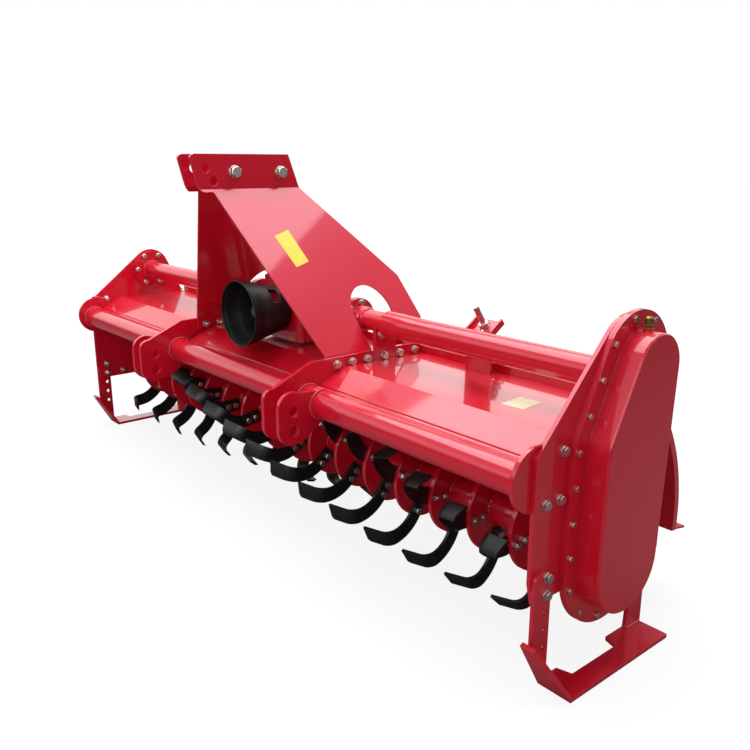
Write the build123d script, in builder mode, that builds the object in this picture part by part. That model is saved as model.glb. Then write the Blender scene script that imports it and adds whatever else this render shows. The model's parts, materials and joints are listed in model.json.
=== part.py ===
# Rotary tiller for a tractor's three-point hitch, side gear drive, resting on its two skids.
# Millimetres. +X to the gear-case side, +Y to the rear, +Z up. The origin is on the ground,
# below the cross drive axis, midway between the two lower hitch clevises.
from build123d import *
from math import asin, atan2, cos, degrees, hypot, radians, sin, sqrt
import os

os.makedirs("parts", exist_ok=True)

# ---------------------------------------------------------------- driving dimensions
plate_span = 2310.0        # across the outer faces of the two side plates
plate_t = 10.0             # side plate thickness
drive_z = 633.0            # cross drive axis and the two top tubes, above the ground
front_y = -262.0           # front tube axis
front_z = 460.0
front_r = 38.0
tube_wall = 5.0
top_r = 34.0               # top tubes
rotor_y = -24.0            # rotor axis
rotor_z = 243.0
tine_r = 224.0             # rotor axis to tine tip
part_gap = 0.3             # play between curved faces that don't touch

plate_in = plate_span / 2 - plate_t      # inner face of a side plate
plate_out = plate_span / 2

# side plates
plate_front = front_y - 6.0
plate_bottom = 197.0
plate_rear = 190.0
plate_rear_z = 410.0       # top of the vertical rear edge
plate_forms = [            # name, side, top of the front edge, lobe y, lobe z, lobe r
    ("side_plate_right", 1, 516.0, 14.0, drive_z + 39.0, 98.0),
    ("side_plate_left", -1, 527.0, 0.0, drive_z + 4.0, 80.0),
]
bearing_bore_r = 50.0

# front tube end flanges
end_flange_y = front_y + 7.0
end_flange_z = front_z + 8.0
end_flange_r = 70.0
end_flange_t = 10.0

# top tubes, necks and bolted flanges
neck_r = 29.0
neck_in = 262.0            # |x| of the gearbox flange face
tube_start = 460.0         # |x| where a top tube begins
drive_flange_r = 56.0
drive_flange_t = 12.0
top_end_r = 76.0           # end flange of a top tube

# gearbox, input shaft and guard
gearbox_x = 210.0
gearbox_y = 190.0
gearbox_z = 190.0
gearbox_arm_r = 34.0
gearbox_nose = 24.0
gearbox_bore = 90.0
guard_seat_r = 52.0
guard_mouth_y = 245.0      # mouth of the guard, ahead of the drive axis
guard_mouth_r = 97.0
guard_t = 4.0
pto_r = 17.4               # free splined end, at the crests
pto_shoulder_r = 20.0
pto_tip = 190.0
pto_root = 60.0

# hitch plates
long_x = 370.0             # |x| of a long plate's inner face
long_t = 12.0
clevis_gap = 52.0          # room for the lower link ball
short_t = 12.0
hitch_hole_r = 14.5        # lower hitch pin, category 2
hitch_y = front_y - 89.0
hitch_high_z = 456.0
hitch_low_z = 404.0
hitch_nose = 50.0          # plate edge ahead of the hitch pins

# mast
head_top = 1093.0
head_h = 95.0              # top edge down to the upper bend line
head_bottom = head_top - head_h
head_front = -393.0
head_l = 315.0             # top edge of the headstock
head_rear = head_front + head_l + 36
mast_t = 10.0
head_gap = 62.0            # between the two headstock plates
foot_bend_z = 560.0        # lower bend line
foot_bottom = 524.0
foot_front = -194.0
mast_waist = (180.0, 738.0)    # corner of the rear edge
top_link_r = 13.0          # top link pin hole
top_link_holes = [(head_front + 46, head_top - 38), (head_front + 69, head_top - 73)]
head_bolts = [(head_front + 134, head_top - 49), (head_front + 287, head_top - 51)]
head_spacer_r = 12.0
notch_r = 71.0
notch_y = 29.0
notch_z = 650.0
notch_foot = 57.0

# deck
deck_t = 4.0
crease_y = -145.0
crease_z = 530.0
deck_rear_y = 146.0
long_rear = deck_rear_y    # rear ends of the long plates and the mast's feet
deck_rear_z = 526.0
bar_h = 26.0
bar_t = 6.0

# trailing board
hinge_y = 176.0
hinge_z = 503.0
hinge_pin_r = 8.0
lug_r = 15.0
lug_t = 8.0
frame_lugs = [share * plate_in for share in (-0.943, -0.472, 0.026, 0.472, 0.926)]
board_t = 4.0
board_r = 450.0            # outer radius of the curved sheet
board_rise = 293.0         # hinge above the centre of that curve
board_start = 28.5         # hinge to the sheet's upper edge
board_cy = hinge_y + board_start - sqrt(board_r ** 2 - board_rise ** 2)
board_cz = hinge_z - board_rise
board_low = -4.0           # degrees, lower edge of the sheet about that centre
board_side_gap = 8.0       # board end to side plate
board_foot_l = 62.0
board_foot_h = 44.0
board_rib = 14.0           # edge rib at each end, outside the sheet
board_max = 25.0           # degrees of lift

# spring rods
rod_x = 650.0
rod_r = 8.0
rod_reach = 61.0           # outside of the sheet to the rod's pin
rod_turn = 10.14           # degrees above level, about the curve's centre
rod_lug_y = board_cy + (board_r + rod_reach) * cos(radians(rod_turn))
rod_lug_z = board_cz + (board_r + rod_reach) * sin(radians(rod_turn))
bracket_y = 130.0
bracket_z = 644.0
rod_slot = 34.0
rod_slot_w = 19.0
eye_w = 20.0
rod_pin_r = 6.0
rod_tail = 75.0
spring_foot = 282.0        # along the rod from the lug
spring_len = 92.0
spring_r = 20.0
collar_t = 8.0
web_t = 6.0
web_l = 56.0
bracket_w = 90.0
cheek_h = 18.0

# gear case
case_back_t = 8.0
case_lip_t = 6.0
case_lip = 42.0            # width of the bolted lip round the cover
case_depth = 68.0          # plate face to cover face
case_wheels = [            # y, z, r of the rounds inside the cover's outline
    (30.0, drive_z + 27.0, 75.0),
    (-16.0, 490.0, 111.0),
    (rotor_y + 1.0, rotor_z - 9.0, 109.0),
]
case_edge_r = 5.0
breather_x = plate_out + 32.0

# rotor and its left bearing hub
rotor_tube_r = 44.0
rotor_flange_r = 105.0
rotor_flange_t = 12.0
flange_count = 12
flange_side = 100.0        # outermost flange to side plate
flange_pitch = (2 * plate_in - 2 * flange_side) / (flange_count - 1)
tine_t = 8.0
tine_wing = 52.0           # sideways reach of a tine's wing
tine_bend_r = 34.0
tine_root = 60.0
tines_per_flange = 6
helix_step = 22.0          # degrees from one flange to the next
rotor_end_gap = 8.0
stub_r = 30.0
hub_r = 92.0
hub_body_r = 68.0
hub_len = 78.0
hub_flange_t = 12.0

# skids, the same part on both sides
skid_t = 10.0
skid_in = plate_out        # of the right-hand one
skid_w = 85.0
skid_strip_w = 50.0        # narrow middle, between the two tabs
skid_bend_y = front_y + 38.0
skid_rear_y = skid_bend_y + 363.0
skid_tab_front = front_y + 100.0
skid_tab_rear = front_y + 282.0
skid_nose_y = front_y - 29.0
skid_nose_z = 120.0
leg_t = 10.0
leg_r = 20.0               # rounded top corners
front_leg = [(-264.0, 72.0), (-212.0, 5.0), (-212.0, 270.0), (-264.0, 270.0)]
rear_leg = [
    (85.0, 5.0), (145.0, 5.0), (145.0, 112.0), (190.0, 190.0),
    (190.0, 270.0), (134.0, 270.0), (134.0, 190.0), (92.0, 100.0),
]
leg_holes = [(-227.0, z) for z in (255.0, 215.0, 174.0, 134.0, 94.0)]
leg_hole_r = 6.5


# ---------------------------------------------------------------- small helpers
def save(part, name):
    part.label = name
    export_step(part, f"parts/{name}.step")


def mirrored(part):
    return mirror(part, about=Plane.YZ)


# ---------------------------------------------------------------- side plates
for name, side, nose_z, lobe_y, lobe_z, lobe_r in plate_forms:
    with BuildPart() as side_plate:
        with BuildSketch(Plane.YZ.offset(plate_in if side > 0 else -plate_out)):
            with Locations((lobe_y, lobe_z)):
                Circle(lobe_r)
            with BuildLine():
                Polyline(
                    (plate_front, nose_z),
                    (plate_front, plate_bottom + 50),
                    (plate_front + 12, plate_bottom),
                    (plate_rear, plate_bottom),
                    (plate_rear, plate_rear_z),
                    close=True,
                )
            make_face()
            make_hull()
            with Locations((rotor_y, rotor_z)):
                Circle(bearing_bore_r, mode=Mode.SUBTRACT)
        extrude(amount=plate_t)
    save(side_plate.part, name)

# ---------------------------------------------------------------- front tube and its end flanges
with BuildPart() as front_tube:
    with BuildSketch(Plane.YZ.offset(-(plate_in - end_flange_t))):
        with Locations((front_y, front_z)):
            Circle(front_r)
            Circle(front_r - tube_wall, mode=Mode.SUBTRACT)
    extrude(amount=2 * (plate_in - end_flange_t))
save(front_tube.part, "front_tube")

with BuildPart() as front_tube_flanges:
    with BuildSketch(Plane.YZ.offset(plate_in - end_flange_t)):
        with Locations((end_flange_y, end_flange_z)):
            Circle(end_flange_r)
    extrude(amount=end_flange_t)
    mirror(about=Plane.YZ)
save(front_tube_flanges.part, "front_tube_flanges")

# ---------------------------------------------------------------- top tubes, necks, gearbox
with BuildPart() as top_tube:
    with BuildSketch(Plane.YZ.offset(tube_start)):
        with Locations((0, drive_z)):
            Circle(top_r)
    extrude(amount=plate_in - end_flange_t - tube_start)
    with BuildSketch(Plane.YZ.offset(plate_in - end_flange_t)):
        with Locations((0, drive_z)):
            Circle(top_end_r)
    extrude(amount=end_flange_t)
save(top_tube.part, "top_tube_right")
save(mirrored(top_tube.part), "top_tube_left")

with BuildPart() as drive_neck:
    with BuildSketch(Plane.YZ.offset(neck_in)):
        with Locations((0, drive_z)):
            Circle(drive_flange_r)
    extrude(amount=drive_flange_t)
    with BuildSketch(Plane.YZ.offset(neck_in + drive_flange_t)):
        with Locations((0, drive_z)):
            Circle(neck_r)
    extrude(amount=tube_start - neck_in - drive_flange_t)
save(drive_neck.part, "drive_neck_right")
save(mirrored(drive_neck.part), "drive_neck_left")

with BuildPart() as gearbox:
    with Locations((0, 0, drive_z)):
        Box(gearbox_x, gearbox_y, gearbox_z)
    fillet(gearbox.edges().filter_by(Axis.Z), 30)
    with BuildSketch(Plane.YZ.offset(-neck_in)):
        with Locations((0, drive_z)):
            Circle(gearbox_arm_r)
    extrude(amount=2 * neck_in)
    with BuildSketch(Plane.YZ.offset(-neck_in)):
        with Locations((0, drive_z)):
            Circle(drive_flange_r)
    extrude(amount=drive_flange_t)
    with BuildSketch(Plane.YZ.offset(neck_in - drive_flange_t)):
        with Locations((0, drive_z)):
            Circle(drive_flange_r)
    extrude(amount=drive_flange_t)
    with BuildSketch(Plane.XZ.offset(gearbox_y / 2)):
        with Locations((0, drive_z)):
            Circle(guard_seat_r)
    extrude(amount=gearbox_nose)
    with BuildSketch(Plane.XZ.offset(gearbox_y / 2 + gearbox_nose)):
        with Locations((0, drive_z)):
            Circle(pto_shoulder_r + part_gap)
    extrude(amount=-gearbox_bore, mode=Mode.SUBTRACT)
save(gearbox.part, "gearbox")

# ---------------------------------------------------------------- input shaft and its guard
with BuildPart() as pto_shaft:
    with BuildSketch(Plane.XZ.offset(pto_tip)):
        with Locations((0, drive_z)):
            Circle(pto_r)
    extrude(amount=-(pto_tip - pto_root))
    chamfer(pto_shaft.edges().group_by(Axis.Y)[0], 2)
    with BuildSketch(Plane.XZ.offset(gearbox_y / 2 + gearbox_nose + 2)):
        with Locations((0, drive_z)):
            Circle(pto_shoulder_r)
    extrude(amount=-(gearbox_y / 2 + gearbox_nose + 2 - pto_root))
save(pto_shaft.part, "pto_shaft")

with BuildPart() as pto_guard:
    with BuildSketch(Plane.YZ):
        with BuildLine():
            Polyline(
                (-guard_mouth_y, drive_z + guard_mouth_r),
                (-guard_mouth_y + 34, drive_z + guard_mouth_r - 2),
                (-guard_mouth_y + 60, drive_z + guard_mouth_r - 14),
                (-gearbox_y / 2 - 4, drive_z + guard_seat_r + 12),
                (-gearbox_y / 2 - 4, drive_z + guard_seat_r),
                (-gearbox_y / 2 - 10, drive_z + guard_seat_r),
                (-guard_mouth_y + 58, drive_z + guard_mouth_r - 14 - guard_t),
                (-guard_mouth_y + 32, drive_z + guard_mouth_r - 2 - guard_t),
                (-guard_mouth_y, drive_z + guard_mouth_r - guard_t),
                close=True,
            )
        make_face()
    revolve(axis=Axis((0, 0, drive_z), (0, 1, 0)))
    with Locations((0, -gearbox_y / 2 - 50, drive_z + 80)):
        Box(46, 36, 60, mode=Mode.SUBTRACT)
save(pto_guard.part, "pto_guard")

# ---------------------------------------------------------------- hitch plates
hitch_front = hitch_y - hitch_nose
with BuildPart() as long_plate:
    with BuildSketch(Plane.YZ.offset(long_x)):
        with BuildLine():
            Line((hitch_front, hitch_high_z + 26), (hitch_front, hitch_low_z - 4))
            ThreePointArc(
                (hitch_front, hitch_low_z - 4),
                (hitch_front + 14, hitch_low_z - 26),
                (hitch_y - 4, hitch_low_z - 37),
            )
            Polyline(
                (hitch_y - 4, hitch_low_z - 37),
                (front_y - 38, hitch_low_z - 27),
                (front_y + 24, front_z - 44),
                (front_y + 112, front_z),
                (front_y + 160, foot_bottom),
                (long_rear, foot_bottom),
                (long_rear, foot_bend_z - 4),
                (48, foot_bend_z - 2),
                (48, drive_z - 10),
                (-28, drive_z - 10),
                (-28, foot_bend_z - 2),
                (front_y + 12, foot_bend_z - 2),
                (hitch_y - 20, hitch_high_z + 50),
            )
            ThreePointArc(
                (hitch_y - 20, hitch_high_z + 50),
                (hitch_front + 8, hitch_high_z + 42),
                (hitch_front, hitch_high_z + 26),
            )
        make_face()
        with Locations((hitch_y, hitch_high_z), (hitch_y, hitch_low_z)):
            Circle(hitch_hole_r, mode=Mode.SUBTRACT)
        with Locations((front_y, front_z)):
            Circle(front_r, mode=Mode.SUBTRACT)
        with Locations((0, drive_z)):
            Circle(neck_r, mode=Mode.SUBTRACT)
    extrude(amount=long_t)
save(long_plate.part, "hitch_plate_long_right")
save(mirrored(long_plate.part), "hitch_plate_long_left")

with BuildPart() as short_plate:
    with BuildSketch(Plane.YZ.offset(long_x + long_t + clevis_gap)):
        with BuildLine():
            Line((hitch_front + 3, hitch_high_z + 14), (hitch_front + 3, hitch_low_z + 4))
            ThreePointArc(
                (hitch_front + 3, hitch_low_z + 4),
                (hitch_front + 16, hitch_low_z - 25),
                (hitch_y, hitch_low_z - 38),
            )
            Polyline(
                (hitch_y, hitch_low_z - 38),
                (front_y - 52, hitch_low_z - 27),
                (front_y + 6, front_z - front_r - 2),
                (front_y + 6, front_z + front_r + 2),
                (front_y - 62, hitch_high_z + 46),
                (hitch_y, hitch_high_z + 53),
            )
            ThreePointArc(
                (hitch_y, hitch_high_z + 53),
                (hitch_front + 15, hitch_high_z + 40),
                (hitch_front + 3, hitch_high_z + 14),
            )
        make_face()
        with Locations((hitch_y, hitch_high_z), (hitch_y, hitch_low_z)):
            Circle(hitch_hole_r, mode=Mode.SUBTRACT)
        with Locations((front_y, front_z)):
            Circle(front_r, mode=Mode.SUBTRACT)
    extrude(amount=short_t)
save(short_plate.part, "hitch_plate_short_right")
save(mirrored(short_plate.part), "hitch_plate_short_left")

# ---------------------------------------------------------------- mast
head_x = head_gap / 2 + mast_t
with BuildPart() as mast_plate:
    with BuildSketch(Plane.XZ.offset(-260)):
        with BuildLine():
            Polyline(
                (head_x, head_top),
                (head_x, head_bottom),
                (long_x, foot_bend_z),
                (long_x, foot_bottom),
                (long_x - mast_t, foot_bottom),
                (long_x - mast_t, foot_bend_z + 4),
                (head_x - mast_t, head_bottom + 4),
                (head_x - mast_t, head_top),
                close=True,
            )
        make_face()
    extrude(amount=700)
    with BuildSketch(Plane.YZ):
        with BuildLine():
            Polyline(
                (head_front, head_top - 10),
                (head_front + 18, head_bottom + 14),
                (head_front + 23, head_bottom + 1),
                (head_front + 34, head_bottom - 8),
                (head_front + 63, head_bottom - 8),
                (foot_front, foot_bend_z),
                (foot_front, foot_bottom),
                (long_rear, foot_bottom),
                (long_rear, foot_bend_z),
                (mast_waist[0] + 18, mast_waist[1] - 118),
                mast_waist,
                (head_rear, head_bottom),
                (head_front + head_l, head_top),
                (head_front + 12, head_top),
                (head_front + 3, head_top - 4),
                close=True,
            )
        make_face()
        with BuildLine():
            Line((notch_y - notch_r, notch_z), (notch_y - notch_foot, foot_bottom - 5))
            Line((notch_y - notch_foot, foot_bottom - 5), (notch_y + notch_foot, foot_bottom - 5))
            Line((notch_y + notch_foot, foot_bottom - 5), (notch_y + notch_r, notch_z))
            ThreePointArc(
                (notch_y + notch_r, notch_z),
                (notch_y, notch_z + notch_r),
                (notch_y - notch_r, notch_z),
            )
        make_face(mode=Mode.SUBTRACT)
        with Locations(*top_link_holes):
            Circle(top_link_r, mode=Mode.SUBTRACT)
    extrude(amount=500, mode=Mode.INTERSECT)
save(mast_plate.part, "mast_plate_right")
save(mirrored(mast_plate.part), "mast_plate_left")

with BuildPart() as head_spacers:
    with BuildSketch(Plane.YZ.offset(-head_gap / 2)):
        with Locations(*head_bolts):
            Circle(head_spacer_r)
    extrude(amount=head_gap)
save(head_spacers.part, "headstock_spacers")

# ---------------------------------------------------------------- deck
deck_lines = [            # name, x from, x to
    ("deck_left", -plate_in, -(long_x + long_t)),
    ("deck_centre", -(long_x - mast_t), long_x - mast_t),
    ("deck_right", long_x + long_t, plate_in),
]
deck_front = (front_y + front_r * cos(radians(45)), front_z + front_r * sin(radians(45)))
for name, x0, x1 in deck_lines:
    with BuildPart() as deck:
        with BuildSketch(Plane.YZ.offset(x0)):
            with BuildLine():
                Polyline(
                    deck_front,
                    (crease_y, crease_z),
                    (deck_rear_y, deck_rear_z),
                    (deck_rear_y, deck_rear_z - deck_t),
                    (crease_y + 2, crease_z - deck_t),
                    (deck_front[0] + 4, deck_front[1] - deck_t),
                    close=True,
                )
            make_face()
            with Locations((front_y, front_z)):
                Circle(front_r, mode=Mode.SUBTRACT)
        extrude(amount=x1 - x0)
        for x in (-plate_in, plate_in - end_flange_t):
            with BuildSketch(Plane.YZ.offset(x)):
                with Locations((end_flange_y, end_flange_z)):
                    Circle(end_flange_r + part_gap)
            extrude(amount=end_flange_t, mode=Mode.SUBTRACT)
    save(deck.part, name)

with BuildPart() as rear_bar:
    with Locations((0, deck_rear_y + bar_t / 2, deck_rear_z - deck_t + bar_h / 2)):
        Box(2 * plate_in, bar_t, bar_h)
    with BuildSketch(Plane.YZ):
        with BuildLine():
            Polyline(
                (deck_rear_y + bar_t, deck_rear_z - deck_t),
                (deck_rear_y + bar_t, deck_rear_z - deck_t + bar_h),
                (hinge_y, hinge_z + lug_r),
                (hinge_y, hinge_z - lug_r),
                close=True,
            )
        make_face()
        with Locations((hinge_y, hinge_z)):
            Circle(lug_r)
            Circle(hinge_pin_r, mode=Mode.SUBTRACT)
    lug_shape = extrude(amount=lug_t, mode=Mode.PRIVATE)
    with Locations(*[(x, 0, 0) for x in frame_lugs]):
        add(lug_shape)
save(rear_bar.part, "deck_rear_bar")

with BuildPart() as hinge_pin:
    with BuildSketch(Plane.YZ.offset(-plate_in)):
        with Locations((hinge_y, hinge_z)):
            Circle(hinge_pin_r)
    extrude(amount=2 * plate_in)
save(hinge_pin.part, "board_hinge_pin")

# ---------------------------------------------------------------- trailing board
board_half = plate_in - board_side_gap
with BuildPart() as trailing_board:
    with BuildSketch(Plane.YZ.offset(-board_half)):
        with BuildLine():
            a_top = asin((hinge_z - board_cz) / board_r)
            a_low = radians(board_low)
            CenterArc((board_cy, board_cz), board_r, board_low, degrees(a_top) - board_low)
            CenterArc((board_cy, board_cz), board_r - board_t, board_low, degrees(a_top) - board_low)
            Line(
                (board_cy + board_r * cos(a_low), board_cz + board_r * sin(a_low)),
                (board_cy + (board_r - board_t) * cos(a_low), board_cz + (board_r - board_t) * sin(a_low)),
            )
            Line(
                (board_cy + board_r * cos(a_top), board_cz + board_r * sin(a_top)),
                (board_cy + (board_r - board_t) * cos(a_top), board_cz + (board_r - board_t) * sin(a_top)),
            )
        make_face()
    extrude(amount=2 * board_half)
    with BuildSketch(Plane.YZ.offset(board_half - board_t)):
        with BuildLine():
            CenterArc((board_cy, board_cz), board_r - 1, board_low, degrees(a_top) - board_low)
            CenterArc((board_cy, board_cz), board_r + board_rib, board_low, degrees(a_top) - board_low)
            for a in (a_low, a_top):
                Line(
                    (board_cy + (board_r - 1) * cos(a), board_cz + (board_r - 1) * sin(a)),
                    (board_cy + (board_r + board_rib) * cos(a), board_cz + (board_r + board_rib) * sin(a)),
                )
        make_face()
    rib = extrude(amount=board_t, mode=Mode.PRIVATE)
    add([rib, mirror(rib, about=Plane.YZ)])
    with BuildSketch(Plane.YZ):
        with Locations((hinge_y, hinge_z)):
            Circle(lug_r)
        with BuildLine():
            Polyline(
                (hinge_y, hinge_z - lug_r),
                (hinge_y, hinge_z + lug_r),
                (board_cy + (board_r - 2) * cos(a_top - 0.02), board_cz + (board_r - 2) * sin(a_top - 0.02)),
                (board_cy + (board_r - 2) * cos(a_top - 0.07), board_cz + (board_r - 2) * sin(a_top - 0.07)),
                close=True,
            )
        make_face()
        with Locations((hinge_y, hinge_z)):
            Circle(hinge_pin_r + part_gap, mode=Mode.SUBTRACT)
    lug_shape = extrude(amount=lug_t, mode=Mode.PRIVATE)
    with Locations(*[(x + lug_t + 1, 0, 0) for x in frame_lugs]):
        add(lug_shape)
save(trailing_board.part, "trailing_board")

with BuildPart() as board_foot:
    with BuildSketch(Plane.YZ.offset(-(board_half - board_t))):
        with BuildLine():
            foot_y = board_cy + board_r + 0.1
            foot_z = board_cz + board_r * sin(a_low)
            Polyline(
                (foot_y, foot_z + board_foot_h),
                (foot_y, foot_z),
                (foot_y + board_foot_l, foot_z - 12),
                (foot_y + board_foot_l, foot_z - 6),
                (foot_y + 6, foot_z + 5),
                (foot_y + 6, foot_z + board_foot_h),
                close=True,
            )
        make_face()
    extrude(amount=2 * (board_half - board_t))
save(board_foot.part, "board_foot")

# ---------------------------------------------------------------- spring rods
rod_len = hypot(bracket_y - rod_lug_y, bracket_z - rod_lug_z)
rod_dir = (0, bracket_y - rod_lug_y, bracket_z - rod_lug_z)


def rod_plane(distance):
    """Plane square to the right-hand rod, so far along it from the lug."""
    share = distance / rod_len
    return Plane(
        origin=(rod_x, rod_lug_y + share * rod_dir[1], rod_lug_z + share * rod_dir[2]),
        x_dir=(1, 0, 0),
        z_dir=rod_dir,
    )


lug_turn = atan2(rod_lug_z - board_cz, rod_lug_y - board_cy)
with BuildPart() as board_lugs:
    with BuildSketch(Plane.YZ.offset(rod_x - eye_w / 2 - 1 - lug_t)):
        with Locations((rod_lug_y, rod_lug_z)):
            Circle(lug_r)
        with BuildLine():
            Polyline(
                (rod_lug_y - 6, rod_lug_z + lug_r - 1),
                (rod_lug_y + 6, rod_lug_z - lug_r + 1),
                (board_cy + (board_r - 8) * cos(lug_turn - 0.14), board_cz + (board_r - 8) * sin(lug_turn - 0.14)),
                (board_cy + (board_r - 8) * cos(lug_turn + 0.18), board_cz + (board_r - 8) * sin(lug_turn + 0.18)),
                close=True,
            )
        make_face()
        with Locations((board_cy, board_cz)):
            Circle(board_r, mode=Mode.SUBTRACT)
    extrude(amount=lug_t)
    mirror(about=Plane.YZ.offset(rod_x))
    with BuildSketch(Plane.YZ.offset(rod_x - eye_w / 2 - 1)):
        with Locations((rod_lug_y, rod_lug_z)):
            Circle(rod_pin_r)
    extrude(amount=eye_w + 2)
    mirror(about=Plane.YZ)
save(board_lugs.part, "board_lugs")

with BuildPart() as spring_rod:
    with BuildSketch(Plane.YZ.offset(rod_x - eye_w / 2)):
        with Locations((rod_lug_y, rod_lug_z)):
            Circle(lug_r)
    extrude(amount=eye_w)
    with BuildSketch(rod_plane(rod_pin_r + 3)):
        Circle(rod_r)
    extrude(amount=rod_len + rod_tail - rod_pin_r - 3)
    with BuildSketch(rod_plane(spring_foot - collar_t)):
        Circle(spring_r + 2)
    extrude(amount=collar_t)
    with BuildSketch(rod_plane(rod_len + web_t / 2 + 1)):
        RegularPolygon(rod_r + 6, 6)
    extrude(amount=14)
    with BuildSketch(Plane.YZ.offset(rod_x - eye_w / 2)):
        with Locations((rod_lug_y, rod_lug_z)):
            Circle(rod_pin_r + part_gap)
    extrude(amount=eye_w, mode=Mode.SUBTRACT)
save(spring_rod.part, "spring_rod_right")
save(mirrored(spring_rod.part), "spring_rod_left")

with BuildPart() as rod_spring:
    with BuildSketch(rod_plane(spring_foot)):
        Circle(spring_r)
        Circle(rod_r + 2, mode=Mode.SUBTRACT)
    extrude(amount=spring_len)
save(rod_spring.part, "rod_spring_right")
save(mirrored(rod_spring.part), "rod_spring_left")

with BuildPart() as rod_bracket:
    with BuildSketch(rod_plane(rod_len - web_t / 2)):
        Rectangle(bracket_w, web_l)
        SlotCenterToCenter(rod_slot - rod_slot_w, rod_slot_w, rotation=90, mode=Mode.SUBTRACT)
    extrude(amount=web_t)
    with BuildSketch(rod_plane(rod_len - web_t / 2)):
        with Locations((-(bracket_w - web_t) / 2, 0), ((bracket_w - web_t) / 2, 0)):
            Rectangle(web_t, web_l)
    extrude(amount=cheek_h)
    post_y = bracket_y + web_l / 2 * rod_dir[2] / -rod_len
    post_z = bracket_z + web_l / 2 * rod_dir[1] / rod_len
    deck_at_post = crease_z + (deck_rear_z - crease_z) * (post_y - crease_y) / (deck_rear_y - crease_y)
    with BuildSketch(Plane.YZ.offset(rod_x - bracket_w / 2)):
        with BuildLine():
            Polyline(
                (post_y - 2, post_z + 4),
                (post_y - 2, deck_at_post + 0.2),
                (post_y + 6, deck_at_post),
                (post_y + 6, post_z + 4),
                close=True,
            )
        make_face()
    extrude(amount=bracket_w)
save(rod_bracket.part, "rod_bracket_right")
save(mirrored(rod_bracket.part), "rod_bracket_left")

# ---------------------------------------------------------------- gear case
with BuildPart() as case_back:
    with BuildSketch(Plane.YZ.offset(plate_out)):
        for y, z, r in case_wheels:
            with Locations((y, z)):
                Circle(r + case_lip)
        make_hull()
    extrude(amount=case_back_t)
    with BuildSketch(Plane.YZ.offset(plate_in)):
        with Locations((rotor_y, rotor_z)):
            Circle(bearing_bore_r - 0.1)
            Circle(stub_r + 0.1, mode=Mode.SUBTRACT)
    extrude(amount=plate_t)
save(case_back.part, "gear_case_back")

with BuildPart() as case_cover:
    with BuildSketch(Plane.YZ.offset(plate_out + case_back_t)):
        for y, z, r in case_wheels:
            with Locations((y, z)):
                Circle(r)
        make_hull()
    extrude(amount=case_depth - case_back_t)
    fillet(case_cover.faces().sort_by(Axis.X)[-1].edges(), case_edge_r)
    with BuildSketch(Plane.YZ.offset(plate_out + case_back_t)):
        for y, z, r in case_wheels:
            with Locations((y, z)):
                Circle(r + case_lip)
        make_hull()
    extrude(amount=case_lip_t)
    with BuildSketch(Plane.XY.offset(case_wheels[0][1])):
        with Locations((breather_x, case_wheels[0][0])):
            Circle(11)
    extrude(amount=case_wheels[0][2] + 6)
save(case_cover.part, "gear_case_cover")

boss_top = case_wheels[0][1] + case_wheels[0][2] + 6
with BuildPart() as breather:
    with BuildSketch(Plane.XY.offset(boss_top)):
        with Locations((breather_x, case_wheels[0][0])):
            RegularPolygon(10, 6)
    extrude(amount=8)
    with BuildSketch(Plane.XY.offset(boss_top + 8)):
        with Locations((breather_x, case_wheels[0][0])):
            Circle(8)
    extrude(amount=13)
    with BuildSketch(Plane.XY.offset(boss_top + 21)):
        with Locations((breather_x, case_wheels[0][0])):
            Circle(8)
    extrude(amount=3, taper=45)
save(breather.part, "case_breather")

# ---------------------------------------------------------------- left bearing hub
with BuildPart() as hub:
    with BuildSketch(Plane.YZ.offset(-plate_out)):
        with Locations((rotor_y, rotor_z)):
            Circle(hub_r)
    extrude(amount=-hub_flange_t)
    with BuildSketch(Plane.YZ.offset(-plate_out - hub_flange_t)):
        with Locations((rotor_y, rotor_z)):
            Circle(hub_body_r)
    extrude(amount=-(hub_len - hub_flange_t))
    with BuildSketch(Plane.YZ.offset(-plate_out)):
        with Locations((rotor_y, rotor_z)):
            Circle(bearing_bore_r - 0.1)
            Circle(stub_r + 0.1, mode=Mode.SUBTRACT)
    extrude(amount=plate_t)
save(hub.part, "rotor_bearing_hub")

# ---------------------------------------------------------------- skids
skid_out = skid_in + skid_w
with BuildPart() as skid:
    with BuildSketch(Plane.XY):
        with BuildLine():
            Polyline(
                (skid_in, skid_bend_y),
                (skid_out, skid_bend_y),
                (skid_out, skid_rear_y),
                (skid_in, skid_rear_y),
                (skid_in, skid_tab_rear),
                (skid_out - skid_strip_w, skid_tab_rear - 12),
                (skid_out - skid_strip_w, skid_tab_front + 10),
                (skid_in, skid_tab_front),
                close=True,
            )
        make_face()
    extrude(amount=skid_t)
    with BuildSketch(Plane.YZ.offset(skid_in)):
        with BuildLine():
            Polyline(
                (skid_bend_y + 4, 0),
                (skid_bend_y, 0),
                (skid_nose_y, skid_nose_z),
                (skid_nose_y + 10, skid_nose_z + 4),
                (skid_bend_y + 5, skid_t),
                close=True,
            )
        make_face()
    nose = extrude(amount=skid_w, mode=Mode.PRIVATE)
    with BuildSketch(Plane.XZ.offset(-skid_bend_y - 20)):
        with BuildLine():
            Polyline(
                (skid_in - 1, -1),
                (skid_out + 1, -1),
                (skid_out + 1, skid_t),
                (skid_in + 0.35 * skid_w, skid_nose_z + 6),
                (skid_in - 1, skid_nose_z + 6),
                close=True,
            )
        make_face()
    nose_trim = extrude(amount=150, mode=Mode.PRIVATE)
    add(nose & nose_trim)
    for outline in (front_leg, rear_leg):
        with BuildSketch(Plane.YZ.offset(plate_out)) as leg:
            with BuildLine():
                Polyline(*outline, close=True)
            make_face()
            fillet(leg.vertices().group_by(Axis.Y)[-1], leg_r)
        extrude(amount=leg_t)
    with BuildSketch(Plane.YZ.offset(plate_out)):
        with Locations(*leg_holes):
            Circle(leg_hole_r)
    extrude(amount=leg_t, mode=Mode.SUBTRACT)
save(skid.part, "skid_right")
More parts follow.
